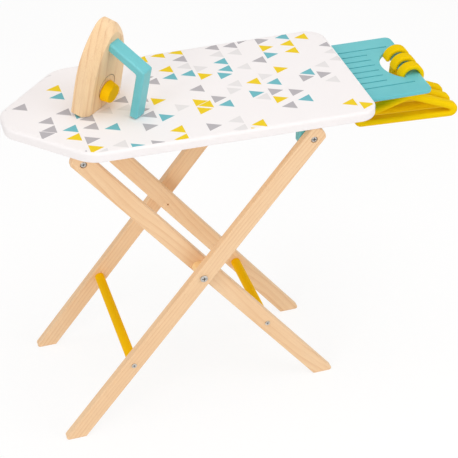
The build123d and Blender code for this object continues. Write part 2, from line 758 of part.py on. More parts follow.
nodes = {name: Compound(children=solids_of(shape)) for name, shape in make_nodes().items()}
whole = Compound(children=[solid for node in nodes.values() for solid in node.solids()]).bounding_box()
to_origin = Pos(-whole.center().X, -whole.center().Y, 0)

os.makedirs("parts", exist_ok=True)
for name, node in nodes.items():
    export_step(to_origin * node, os.path.join("parts", name + ".step"))

print("nodes", len(nodes))
print("box", whole.size.X, whole.size.Y, whole.size.Z, "lowest", whole.min.Z)
print("origin moved by", to_origin.position.X, to_origin.position.Y)
print("leg lean", leg_lean, "pivot x", pivot_x, "z", pivot_z, "crossing z", crossing_z)
print("hook centre x", bar_x, "z", hook_z, "iron turn and lean", iron_turn, iron_lean)
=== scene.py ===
from math import cos, pi, radians, sin
import bmesh
import bpy
import numpy as np
from mathutils import Matrix, Vector


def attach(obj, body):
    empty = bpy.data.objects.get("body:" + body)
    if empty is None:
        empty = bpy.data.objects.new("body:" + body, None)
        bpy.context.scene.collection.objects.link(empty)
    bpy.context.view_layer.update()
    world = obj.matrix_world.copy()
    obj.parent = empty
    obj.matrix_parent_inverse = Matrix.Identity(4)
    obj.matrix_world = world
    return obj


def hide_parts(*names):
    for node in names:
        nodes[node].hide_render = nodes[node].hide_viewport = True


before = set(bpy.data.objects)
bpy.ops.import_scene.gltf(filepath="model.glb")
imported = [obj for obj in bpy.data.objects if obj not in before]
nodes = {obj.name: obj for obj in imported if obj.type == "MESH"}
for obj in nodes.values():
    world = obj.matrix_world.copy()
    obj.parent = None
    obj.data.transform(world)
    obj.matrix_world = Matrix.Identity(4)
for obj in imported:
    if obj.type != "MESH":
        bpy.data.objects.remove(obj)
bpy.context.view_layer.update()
mm = 0.001
print("frame loaded with", len(nodes), "nodes")

# the camera stands where the photographer stood; angles in degrees
photoCamera = {
    "place": (-0.531330, -1.574920, 1.493259),
    "azimuth": -18.3114,
    "elevation": 36.7869,
    "roll": 0.87752,
    "focalPixels": 1368.163,
    "imagePixels": 458,
    "sensor": 36.0,
}


def setCamera(shot):
    azimuth, elevation, roll = (radians(shot[k]) for k in ("azimuth", "elevation", "roll"))
    ahead = Vector((-sin(azimuth) * cos(elevation), cos(azimuth) * cos(elevation), -sin(elevation)))
    right = Vector((cos(azimuth), sin(azimuth), 0))
    up = right.cross(ahead)
    right, up = cos(roll) * right + sin(roll) * up, cos(roll) * up - sin(roll) * right
    lens = bpy.data.cameras.new("photoCamera")
    lens.sensor_fit = "HORIZONTAL"
    lens.sensor_width = shot["sensor"]
    lens.lens = shot["sensor"] * shot["focalPixels"] / shot["imagePixels"]
    camera = bpy.data.objects.new("photoCamera", lens)
    turn = Matrix((right, up, -ahead)).transposed().to_4x4()
    camera.matrix_world = Matrix.Translation(shot["place"]) @ turn
    bpy.context.scene.collection.objects.link(camera)
    bpy.context.scene.camera = camera


setCamera(photoCamera)
bpy.context.scene.view_settings.view_transform = "Standard"
print("camera set")


# colours are picked as they look on screen, 0 to 255, and turned into light
def tone(red, green, blue):
    share = np.array((red, green, blue)) / 255
    light = np.where(share <= 0.04045, share / 12.92, ((share + 0.055) / 1.055) ** 2.4)
    return (*[float(v) for v in light], 1.0)


# one output of a node, which takes part in sums like a number
class Strand:
    def __init__(self, finish, made, output=0):
        self.finish, self.made = finish, made
        self.socket = made.outputs[output] if made.outputs else None

    def pick(self, output):
        return Strand(self.finish, self.made, output)

    def sum(self, operation, *values):
        inputs = dict(enumerate(values))
        return self.finish.node("ShaderNodeMath", {"operation": operation}, inputs)

    def __add__(self, other):
        return self.sum("ADD", self, other)

    def __radd__(self, other):
        return self.sum("ADD", other, self)

    def __sub__(self, other):
        return self.sum("SUBTRACT", self, other)

    def __rsub__(self, other):
        return self.sum("SUBTRACT", other, self)

    def __mul__(self, other):
        return self.sum("MULTIPLY", self, other)

    def __rmul__(self, other):
        return self.sum("MULTIPLY", other, self)

    def __truediv__(self, other):
        return self.sum("DIVIDE", self, other)

    def __rtruediv__(self, other):
        return self.sum("DIVIDE", other, self)

    def __pow__(self, other):
        return self.sum("POWER", self, other)

    def __gt__(self, other):
        return self.sum("GREATER_THAN", self, other)

    def __lt__(self, other):
        return self.sum("LESS_THAN", self, other)

    def __abs__(self):
        return self.sum("ABSOLUTE", self)

    def floor(self):
        return self.sum("FLOOR", self)

    def fraction(self):
        return self.sum("FRACT", self)

    def wave(self):
        return self.sum("SINE", self)

    def clamped(self):
        return self.finish.node("ShaderNodeClamp", {}, {0: self})

    def between(self, low, high):
        # 0 below low, 1 above high, straight in between
        return ((self - low) / (high - low)).clamped()


# the nodes of one material, or of the world
class Finish:
    def __init__(self, owner):
        owner.use_nodes = True
        self.owner, self.tree = owner, owner.node_tree
        self.tree.nodes.clear()

    def node(self, kind, settings, inputs, output=0):
        made = self.tree.nodes.new(kind)
        for name, value in settings.items():
            if name == "stops":
                while len(made.color_ramp.elements) < len(value):
                    made.color_ramp.elements.new(1.0)
                for element, (place, colour) in zip(made.color_ramp.elements, value):
                    element.position, element.color = place, colour
            elif name == "interpolation":
                made.color_ramp.interpolation = value
            else:
                setattr(made, name, value)
        for name, value in inputs.items():
            if isinstance(value, Strand):
                self.tree.links.new(value.socket, made.inputs[name])
            else:
                made.inputs[name].default_value = value
        return Strand(self, made, output)

    def here(self):
        return self.node("ShaderNodeTexCoord", {}, {}, "Object")

    def along(self, point, direction):
        # how far a point lies along a direction
        inputs = {0: point, 1: tuple(direction)}
        return self.node("ShaderNodeVectorMath", {"operation": "DOT_PRODUCT"}, inputs, "Value")

    def vector(self, x, y, z):
        return self.node("ShaderNodeCombineXYZ", {}, {0: x, 1: y, 2: z})

    def noise(self, point, scale, detail=2.0, rough=0.5):
        inputs = {"Vector": point, "Scale": scale, "Detail": detail, "Roughness": rough}
        return self.node("ShaderNodeTexNoise", {}, inputs)

    def chance(self, point):
        # an even random number from 0 to 1 for each whole-numbered place
        return self.node("ShaderNodeTexWhiteNoise", {"noise_dimensions": "3D"}, {"Vector": point})

    def blend(self, share, first, second):
        settings = {"data_type": "RGBA", "blend_type": "MIX"}
        return self.node("ShaderNodeMix", settings, {0: share, 6: first, 7: second}, 2)

    def bump(self, height, strength, depth):
        inputs = {"Height": height, "Strength": strength, "Distance": depth}
        return self.node("ShaderNodeBump", {}, inputs)

    def surface(self, inputs):
        shader = self.node("ShaderNodeBsdfPrincipled", {}, inputs)
        self.node("ShaderNodeOutputMaterial", {}, {"Surface": shader})
        return self.owner


def newFinish(name):
    return Finish(bpy.data.materials.new(name))


def dress(material, *names):
    for name in names:
        mesh = nodes[name].data
        if mesh.materials:
            for index in range(len(mesh.materials)):
                mesh.materials[index] = material
        else:
            mesh.materials.append(material)


# sanded beech: lengths in metres, colours pale to dark, how much each mark shows, and the paces of its
# noises along and across the grain, per metre, with their detail and roughness
legWood = {
    "pale": (247, 212, 170),
    "deep": (222, 170, 118),
    "warm": (240, 197, 150),
    "pore": (190, 136, 90),
    "ringGap": 0.0052,
    "ringShare": 0.9,
    "ringEdge": 2.6,
    "ringFall": 0.88,
    "ringWobble": 0.0022,
    "heart": (0.012, 0.034),
    "sway": 0.026,
    "swayPace": 3.1,
    "warmShare": 0.55,
    "fibreShare": 0.3,
    "poreShare": 0.4,
    "roughness": 0.5,
    "relief": 0.0002,
    "wobble": (14, 60, 2.0, 0.5),
    "vigour": (5, 90, 2.0, 0.5),
    "fibre": (26, 1100, 3.0, 0.6),
    "pores": (150, 2300, 1.0, 0.5),
    "blotch": (6, 22, 2.0, 0.5),
}


# Wood sawn from a trunk. p runs along the grain, q and r across it. The distance to the heart is the
# length of (q + heartQ + sway(p), r + heartR). Each ring darkens as the fraction of distance / ringGap
# nears 1 and then drops back. Fibres are noise stretched along p, pores are the rare peaks of another.
def woodLook(name, wood, grain, across, seed, marks=None):
    finish = newFinish(name)
    point = finish.here()
    grain, across = Vector(grain).normalized(), Vector(across).normalized()
    p = finish.along(point, grain)
    q = finish.along(point, across)
    r = finish.along(point, grain.cross(across))

    def streaks(paceAlong, paceAcross, detail, rough):
        place = finish.vector(p * paceAlong, q * paceAcross + seed, r * paceAcross)
        return finish.noise(place, 1.0, detail, rough)

    sway = streaks(wood["swayPace"], 4, 1.5, 0.45) - 0.5
    wobble = streaks(*wood["wobble"]) - 0.5
    heartQ, heartR = wood["heart"]
    sideways = q + heartQ + sway * wood["sway"] * 2
    distance = (sideways * sideways + (r + heartR) * (r + heartR)) ** 0.5 + wobble * wood["ringWobble"]
    phase = (distance / wood["ringGap"] + seed * 0.37).fraction()
    ring = phase ** wood["ringEdge"] * (1 - phase.between(wood["ringFall"], 1.0))
    vigour = streaks(*wood["vigour"]).between(0.28, 0.7)
    fibre = streaks(*wood["fibre"])
    pore = streaks(*wood["pores"]).between(0.66, 0.76)
    blotch = streaks(*wood["blotch"]).between(0.35, 0.7)
    colour = finish.blend(blotch * wood["warmShare"], tone(*wood["pale"]), tone(*wood["warm"]))
    colour = finish.blend(ring * vigour * wood["ringShare"], colour, tone(*wood["deep"]))
    colour = finish.blend(fibre.between(0.45, 0.8) * wood["fibreShare"], colour, tone(*wood["deep"]))
    colour = finish.blend(pore * wood["poreShare"], colour, tone(*wood["pore"]))
    if marks:
        colour = marks(finish, point, colour)
    height = fibre * 0.6 - pore * 0.8 - ring * 0.15
    return finish.surface({
        "Base Color": colour,
        "Roughness": wood["roughness"] + fibre * 0.16 - 0.08,
        "Normal": finish.bump(height, 0.25, wood["relief"]),
    })


# outer legs rise to the rack, inner legs rise to the nose; lean in degrees, one seed for each leg
legGrain = {
    "outer_leg_front": (52.553, 2.0),
    "outer_leg_rear": (52.553, 17.0),
    "inner_leg_front": (128.094, 31.0),
    "inner_leg_rear": (128.094, 46.0),
}
for name, (lean, seed) in legGrain.items():
    grain = (cos(radians(lean)), 0, sin(radians(lean)))
    dress(woodLook(name + "_beech", legWood, grain, (0, 1, 0), seed), name)

blockWood = dict(legWood, ringShare=0.5, sway=0.006)
dress(woodLook("blockBeech", blockWood, (1, 0, 0), (0, 1, 0), 61.0),
      "rest_block_front", "rest_block_rear", "stop_block_front", "stop_block_rear")
spacerWood = dict(blockWood, pale=(255, 224, 168), warm=(255, 216, 156), deep=(240, 190, 128))
dress(woodLook("spacerBeech", spacerWood, (0, 1, 0), (1, 0, 0), 73.0),
      "crossing_spacer_front", "crossing_spacer_rear")
print("beech legs and blocks done")

# the iron stands on its heel: heel in metres, turn about the vertical and lean in degrees
ironStance = {"heel": (-0.192196, -0.0004, 0.5053), "turn": 41.75, "lean": 11.0}
ironWood = dict(legWood, pale=(248, 216, 172), deep=(204, 140, 86), warm=(244, 205, 156),
                pore=(200, 148, 98), ringGap=0.0088, ringShare=1.0, ringEdge=5.0,
                heart=(0.012, 0.095), sway=0.003, swayPace=6.0, roughness=0.46)
# the thin line behind the dial, in metres from the heel; half is half its width, soft where it fades out
scaleRing = {
    "across": -0.0016,
    "up": 0.0322,
    "radius": 0.018,
    "half": 0.0004,
    "soft": 0.0007,
    "behind": -0.002,
    # the colour of the thin dark line
    "lineColour": (120, 96, 74),
    "strength": 0.8,
}


def ironAxes(stance):
    turn, lean = radians(stance["turn"]), radians(stance["lean"])
    across = Vector((cos(turn), sin(turn), 0))
    out = Vector((cos(lean) * sin(turn), -cos(lean) * cos(turn), -sin(lean)))
    return across, out.cross(across), out


ironAcross, ironUp, ironOut = ironAxes(ironStance)


# dark where the distance from the ring's centre is the ring's radius, on the face that carries the dial
def dialRing(finish, point, colour):
    centre = Vector(ironStance["heel"]) + ironAcross * scaleRing["across"] + ironUp * scaleRing["up"]
    x = finish.along(point, ironAcross) - centre.dot(ironAcross)
    y = finish.along(point, ironUp) - centre.dot(ironUp)
    z = finish.along(point, ironOut) - centre.dot(ironOut)
    away = abs((x * x + y * y) ** 0.5 - scaleRing["radius"])
    line = (1 - away.between(scaleRing["half"], scaleRing["soft"])) * (z > scaleRing["behind"])
    return finish.blend(line * scaleRing["strength"], colour, tone(*scaleRing["lineColour"]))


dress(woodLook("ironBeech", ironWood, ironUp, ironAcross, 88.0, dialRing), "iron_body")
print("iron body done")

# satin paint over sanded wood; paces per metre
tealPaint = {
    "colour": (108, 197, 203),
    "deep": (90, 180, 188),
    "roughness": 0.45,
    "coat": 0.12,
    "coatRoughness": 0.25,
    "shine": 0.35,
    "driftPace": 16.0,
    "fibrePace": (30, 700),
    "peelPace": 900.0,
    "relief": 0.00016,
}
handlePaint = dict(tealPaint, coat=0.4, shine=0.5)
hangerPaint = dict(tealPaint, colour=(243, 204, 0), deep=(230, 188, 0), roughness=0.6, coat=0.0, shine=0.06)
railPaint = dict(hangerPaint, colour=(255, 200, 0), deep=(250, 188, 0), roughness=0.5)


# Paint drifts a little between its colour and its deep tone with slow noise. The wood's fibres show
# through as a shallow relief along the grain, under a fine orange peel.
def paintLook(name, paint, grain, across, seed):
    finish = newFinish(name)
    point = finish.here()
    grain, across = Vector(grain).normalized(), Vector(across).normalized()
    p = finish.along(point, grain)
    q = finish.along(point, across)
    r = finish.along(point, grain.cross(across))
    paceAlong, paceAcross = paint["fibrePace"]
    drift = finish.noise(point, paint["driftPace"], 3.0).between(0.35, 0.75)
    fibre = finish.noise(finish.vector(p * paceAlong + seed, q * paceAcross, r * paceAcross), 1.0, 2.0, 0.6)
    peel = finish.noise(point, paint["peelPace"], 1.0)
    colour = finish.blend(drift * 0.5 + fibre.between(0.5, 0.8) * 0.25,
                          tone(*paint["colour"]), tone(*paint["deep"]))
    return finish.surface({
        "Base Color": colour,
        "Roughness": paint["roughness"] + drift * 0.08 + peel * 0.06,
        "Specular IOR Level": paint["shine"],
        "Coat Weight": paint["coat"],
        "Coat Roughness": paint["coatRoughness"],
        "Normal": finish.bump(fibre + peel * 0.35, 0.18, paint["relief"]),
    })


dress(paintLook("tealRack", tealPaint, (1, 0, 0), (0, 1, 0), 3.0), "hanger_rack")
dress(paintLook("tealCleats", tealPaint, (1, 0, 0), (0, 1, 0), 9.0),
      "pivot_cleat_front", "pivot_cleat_rear")
dress(paintLook("tealHandle", handlePaint, ironOut, ironAcross, 14.0), "iron_handle")
dress(paintLook("yellowRails", railPaint, (0, 1, 0), (1, 0, 0), 21.0),
      "outer_lower_rail", "inner_lower_rail", "inner_top_rail")
dress(paintLook("yellowHangers", hangerPaint, (1, 0, 0), (0, 1, 0), 27.0),
      "coat_hanger_front", "coat_hanger_middle", "coat_hanger_rear")
dress(paintLook("yellowDial", railPaint, ironOut, ironAcross, 33.0), "iron_dial")
print("paint done")

# zinc on steel; lengths in metres, paces per metre
zinc = {
    "colour": (216, 213, 208),
    "deep": (168, 165, 160),
    # the colour of the painted shade in the screw heads' recesses
    "paintedShade": (44, 38, 34),
    "roughness": 0.3,
    "cloudPace": 420.0,
    "scratchPace": (300, 4000, 4000),
    # the depths below a head's face where the painted shade starts and where it is full
    "paintedShadeFrom": 0.00015,
    "paintedShadeFull": 0.0006,
    "recessDepth": 0.0016,
    "relief": 0.00008,
}
# for each head its axis's x and z, how far out its face lies and how far its recess reaches
crossHeads = {
    "crossing": (-0.085096, 0.263581, 0.1179, 0.0042),
    "outerRail": (-0.192108, 0.123851, 0.1169, 0.0028),
    "innerRail": (0.025811, 0.126869, 0.0866, 0.0028),
    "topRail": (-0.243182, 0.47, 0.0846, 0.0032),
    "pivot": (0.07299, 0.47, 0.1149, 0.0032),
}


# Cloudy patches of noise shift colour and roughness, hair scratches are noise stretched along X. Painted
# shade
# sits in the recesses: where a point is nearer a head's axis than its recess reaches and lies deeper than
# its face.
def zincLook(name, metal, heads):
    finish = newFinish(name)
    point = finish.here()
    cloud = finish.noise(point, metal["cloudPace"], 3.0).between(0.35, 0.7)
    stretched = finish.node("ShaderNodeMapping", {}, {"Vector": point, "Scale": metal["scratchPace"]})
    scratch = finish.noise(stretched, 1.0, 2.0)
    colour = finish.blend(cloud, tone(*metal["colour"]), tone(*metal["deep"]))
    # painted shade: the screw heads' recesses are darkened, less metallic and rougher, where shade falls in
    # them
    paintedShade = cloud * 0
    for headX, headZ, face, reach in heads.values():
        x = finish.along(point, (1, 0, 0)) - headX
        z = finish.along(point, (0, 0, 1)) - headZ
        deep = face - abs(finish.along(point, (0, 1, 0)))
        inRecess = ((x * x + z * z) ** 0.5 < reach) * (deep < metal["recessDepth"])
        paintedShade = paintedShade + inRecess * deep.between(metal["paintedShadeFrom"], metal["paintedShadeFull"])
    paintedShade = paintedShade.clamped()
    return finish.surface({
        "Base Color": finish.blend(paintedShade, colour, tone(*metal["paintedShade"])),
        "Metallic": 1 - paintedShade,
        "Roughness": metal["roughness"] + cloud * 0.14 + paintedShade * 0.3,
        "Normal": finish.bump(scratch, 0.12, metal["relief"]),
    })


steelNames = [name for name in nodes if any(word in name for word in ("screw", "bolt", "nut", "dial_pin"))]
dress(zincLook("zincSteel", zinc, crossHeads), *steelNames)
print("steel done")

# plywood panel: faces of one veneer, plies crossing in between
panelWood = dict(legWood, pale=(238, 209, 168), deep=(214, 172, 124), warm=(231, 196, 150),
                 ringGap=0.011, heart=(0.02, 0.16), sway=0.05, swayPace=1.6)
panelPlies = {"bottom": 0.4912, "ply": 0.00188, "dark": (186, 138, 92), "share": 0.6}


def plies(finish, point, colour):
    layer = ((finish.along(point, (0, 0, 1)) - panelPlies["bottom"]) / panelPlies["ply"]).floor()
    crossing = (layer / 2).fraction() > 0.25
    return finish.blend(crossing * panelPlies["share"], colour, tone(*panelPlies["dark"]))


dress(woodLook("birchPanel", panelWood, (1, 0, 0), (0, 1, 0), 95.0, plies), "board_core")
print("panel done")

# board outline as drawn before its corners are rounded: half a board, rack end to nose, in millimetres
board = {
    "corners": ((251.0, 122.0, 28.0), (-156.0, 116.0, 45.0), (-251.0, 22.0, 25.0)),
    "shift": -83.296,
    "top": 505.0,
    "bottom": 490.0,
    "rackHalf": 80.2,
    "rackTop": 497.4,
    "spineShare": 0.86,
}


# The outline as straight sides and arcs: at each corner the arc of that radius touches both sides. Walked
# at even steps it gives points, outward directions and the bend 1 / radius, which is 0 on the sides.
def walkOutline(shape, count):
    half = [np.array(c[:2]) for c in shape["corners"]]
    radii = [c[2] for c in shape["corners"]]
    corners = half + [c * (1, -1) for c in reversed(half)]
    radii = radii + radii[::-1]
    pieces = []
    for i, corner in enumerate(corners):
        before, after = corners[i - 1], corners[(i + 1) % len(corners)]
        inward, outward = corner - before, after - corner
        inward, outward = inward / np.linalg.norm(inward), outward / np.linalg.norm(outward)
        turn = np.arctan2(inward[0] * outward[1] - inward[1] * outward[0], inward @ outward)
        reach = radii[i] * np.tan(turn / 2)
        middle = corner - inward * reach + radii[i] * np.array((-inward[1], inward[0]))
        start = np.arctan2(-inward[0], inward[1])
        arrive, leave = corner - inward * reach, corner + outward * reach
        pieces.append((arrive, leave, middle, start, turn, radii[i], outward))
    lengths = []
    for i, (_, leave, _, _, turn, radius, _) in enumerate(pieces):
        arrive = pieces[(i + 1) % len(pieces)][0]
        lengths += [radius * turn, np.linalg.norm(arrive - leave)]
    ends = np.cumsum([0.0] + lengths)
    # the walk starts in the middle of the nose's end, so it is the same both ways
    begin = ends[5] + lengths[5] / 2
    steps = np.arange(count) / count * ends[-1]
    at = (steps + begin) % ends[-1]
    places, normals, bend = np.zeros((len(at), 2)), np.zeros((len(at), 2)), np.zeros(len(at))
    for i, (_, leave, middle, start, turn, radius, outward) in enumerate(pieces):
        arc = (at >= ends[2 * i]) & (at < ends[2 * i + 1])
        angle = start + (at[arc] - ends[2 * i]) / radius
        normals[arc] = np.stack([np.cos(angle), np.sin(angle)], 1)
        places[arc] = middle + radius * normals[arc]
        bend[arc] = 1 / radius
        side = (at >= ends[2 * i + 1]) & (at < ends[2 * i + 2])
        places[side] = leave + (at[side] - ends[2 * i + 1])[:, None] * outward
        normals[side] = (outward[1], -outward[0])
    return places, normals, bend, steps, ends[-1]


weldDistance = 0.02 * mm


# A grid of points whose columns close on themselves becomes quads and one mesh. keep says which quads stay,
# layers holds a value for each point.
def gridPiece(name, points, keep=None, layers=None):
    rows, columns = points.shape[:2]
    index = np.arange(rows * columns).reshape(rows, columns)
    following = np.roll(index, -1, axis=1)
    quads = np.stack([index[:-1], index[1:], following[1:], following[:-1]], -1)
    quads = quads[keep] if keep is not None else quads.reshape(-1, 4)
    mesh = bpy.data.meshes.new(name)
    mesh.from_pydata((points.reshape(-1, 3) * mm).tolist(), [], quads.tolist())
    for layer, values in (layers or {}).items():
        attribute = mesh.attributes.new(layer, "FLOAT", "POINT")
        attribute.data.foreach_set("value", values.ravel().astype(np.float32))
    seamless = bmesh.new()
    seamless.from_mesh(mesh)
    bmesh.ops.remove_doubles(seamless, verts=seamless.verts, dist=weldDistance)
    loose = [v for v in seamless.verts if not v.link_faces]
    bmesh.ops.delete(seamless, geom=loose, context="VERTS")
    seamless.to_mesh(mesh)
    seamless.free()
    mesh.polygons.foreach_set("use_smooth", np.ones(len(mesh.polygons), bool))
    piece = bpy.data.objects.new(name, mesh)
    bpy.context.scene.collection.objects.link(piece)
    return piece


# the cloth cover, in millimetres: insets are measured in from the outline
cover = {
    "steps": 840,
    "edge": 4.6,
    "fold": 2.2,
    "hem": 14.0,
    "cloth": 0.7,
    "panelInset": 4.4,
    "seam": 0.22,
    "seamWidth": 0.35,
    "pucker": 0.22,
    "puckerRun": 8.5,
    "puckerReach": 5.0,
    "gather": 0.9,
    "gatherRun": 7.0,
    "seed": 12,
    "middleShares": (0.0, 0.12, 0.26, 0.42, 0.58, 0.74, 0.88),
    "topInsets": (20.0, 16.0, 12.5, 9.8, 7.8),
    "seamSteps": (1.1, 0.5, 0.12, -0.12, -0.5, -1.1),
    "seamRoom": 0.3,
    "sideHeights": (495.4, 493.4),
    "hemInsets": (3.2, 5.4, 7.8, 10.0, 11.8, 12.8, 13.5),
}


# A profile carried round the outline: every point is place - inset * outward at a height. From the middle
# line of the board the top runs level, turns over a quarter circle of radius edge, goes down the side, turns
# under the fold and ends at the hem's mouth. Puckers and gathers are sums of three sines of the way round,
# stronger where the outline bends.
def sewCover(shape, cloth):
    places, normals, bend, steps, around = walkOutline(shape, cloth["steps"])
    # columns on the two sides of the rack's gate lie exactly on them
    end = places[:, 0] > shape["corners"][0][0] - 0.01
    for side in (-1, 1):
        nearest = np.argmin(np.abs(places[:, 1] - side * shape["rackHalf"]) + 999 * ~end)
        places[nearest, 1] = side * shape["rackHalf"]
    gate = end & (np.abs(places[:, 1]) <= shape["rackHalf"] + 0.001)

    top, bottom, edge, fold = shape["top"], shape["bottom"], cloth["edge"], cloth["fold"]
    quarter = np.linspace(0, pi / 2, 12)
    over = np.stack([edge - edge * np.sin(quarter), top - edge + edge * np.cos(quarter)], 1)
    seamRows = cloth["panelInset"] + np.array(cloth["seamSteps"])
    seamAngle = np.arcsin(np.clip(edge - seamRows, 0, None) / edge)
    seamOver = np.stack([seamRows, top - edge + edge * np.cos(seamAngle)], 1)
    crowded = np.abs(over[:, :1] - seamRows[None]).min(axis=1) < cloth["seamRoom"]
    over = np.concatenate([over[~crowded], seamOver])
    over = over[np.argsort(-over[:, 0])]
    level = np.array([(inset, top) for inset in cloth["topInsets"]])
    sideRows = (top - edge - 0.8, shape["rackTop"], *cloth["sideHeights"], bottom + fold)
    down = np.array([(0, z) for z in sideRows])
    turnUnder = np.linspace(0, pi / 2, 6)[1:]
    under = np.stack([fold - fold * np.cos(turnUnder), bottom + fold - fold * np.sin(turnUnder)], 1)
    hem = np.array([(inset, bottom) for inset in (*cloth["hemInsets"], cloth["hem"])])
    profile = np.concatenate([level, over, down, under, hem])
    inset, height = profile[:, :1], np.repeat(profile[:, 1:], len(places), 1)

    random = np.random.default_rng(cloth["seed"])
    way = steps / around * 2 * pi

    def ripple(run):
        turns = np.round(around / run * np.array([1.0, 1.31, 0.77])).astype(int)
        offsets = random.uniform(0, 2 * pi, 3)
        return (np.sin(turns[:, None] * way + offsets[:, None]) * np.array([[0.5], [0.3], [0.2]])).sum(0)

    tight = np.clip(bend * 30, 0.25, 1.0)
    spread = np.exp(-np.linspace(-2, 2, 41) ** 2)
    tight = np.convolve(np.tile(tight, 3), spread / spread.sum(), "same")[len(tight):2 * len(tight)]
    pucker, gather = ripple(cloth["puckerRun"]), ripple(cloth["gatherRun"])
    fromSeam = inset - cloth["panelInset"]
    nearSeam = np.exp(-(fromSeam / cloth["puckerReach"]) ** 2) * (height > top - edge)
    puckered = cloth["pucker"] * tight * (0.5 + 0.5 * pucker)
    outward = inset + puckered * (height < top - edge / 2) * (height > bottom + 3)
    height = height - puckered * nearSeam
    height = height - cloth["seam"] * np.exp(-(fromSeam / cloth["seamWidth"]) ** 2) * (height > top - edge)
    hanging = (np.clip((inset - fold) / cloth["hem"], 0, 1) ** 1.3) * (height < bottom + 0.1)
    height = height - cloth["gather"] * hanging * tight * (0.5 + 0.5 * gather)

    flatPlaces = places[None] - outward[..., None] * normals[None]
    innerRing = flatPlaces[0]
    spine = np.stack([innerRing[:, 0] * shape["spineShare"], 0 * innerRing[:, 1]], 1)
    share = np.array(cloth["middleShares"])[:, None, None]
    middle = spine[None] + share * (innerRing - spine)[None]
    flatPlaces = np.concatenate([middle, flatPlaces])
    height = np.concatenate([np.full(middle.shape[:2], top), height])
    flatPlaces[..., 0] += shape["shift"]
    points = np.concatenate([flatPlaces, height[..., None]], -1)

    rows = np.concatenate([np.full(len(share), cloth["topInsets"][0]), inset[:, 0]])
    levels = np.concatenate([np.full(len(share), top), profile[:, 1]])
    onTop = ((levels > top - edge) & (rows > cloth["panelInset"] - 0.13)).astype(float)
    strip = gate & np.roll(gate, -1)
    below = (levels[:-1] <= shape["rackTop"] + 0.001)
    keep = ~(below[:, None] & strip[None])
    length = np.concatenate([[0], np.cumsum(np.linalg.norm(np.diff(profile, axis=0), axis=1))])
    length = np.concatenate([np.zeros(len(share)), length])
    layers = {
        "topPanel": np.repeat(onTop[:, None], len(places), 1),
        "wayRound": np.repeat(steps[None] * mm, len(rows), 0),
        "wayDown": np.repeat(length[:, None] * mm, len(places), 1),
    }
    piece = gridPiece("printedCover", points, keep, layers)
    wall = piece.modifiers.new("clothThickness", "SOLIDIFY")
    wall.thickness, wall.offset = cloth["cloth"] * mm, -1.0
    x, y = places.T
    area = 0.5 * abs(np.sum(x * np.roll(y, -1) - np.roll(x, -1) * y))
    return piece, area, around


# the print: a strip every pitchX holds triangles that point to the nose and to the rack, in millimetres;
# each ink has its place on the ramp of chances
coverPrint = {
    "pitchX": 27.3,
    "pitchY": 21.6,
    "baseLine": 113.2,
    "length": 20.0,
    "half": 9.8,
    "baseGap": 4.6,
    "noseChance": 0.36,
    "rackChance": 0.27,
    "seed": 5.0,
    "blur": 0.3,
    "crowd": 0.42,
    "white": (249, 245, 245),
    "shade": (242, 239, 240),
    "inks": (
        (0.0, (232, 229, 229)),
        (0.26, (184, 180, 184)),
        (0.60, (240, 207, 0)),
        (0.87, (108, 186, 196)),
    ),
    "thread": 0.9,
    "stitch": {"gap": 3.2, "share": 0.62, "down": 43.5, "half": 0.35, "colour": (214, 210, 210)},
}


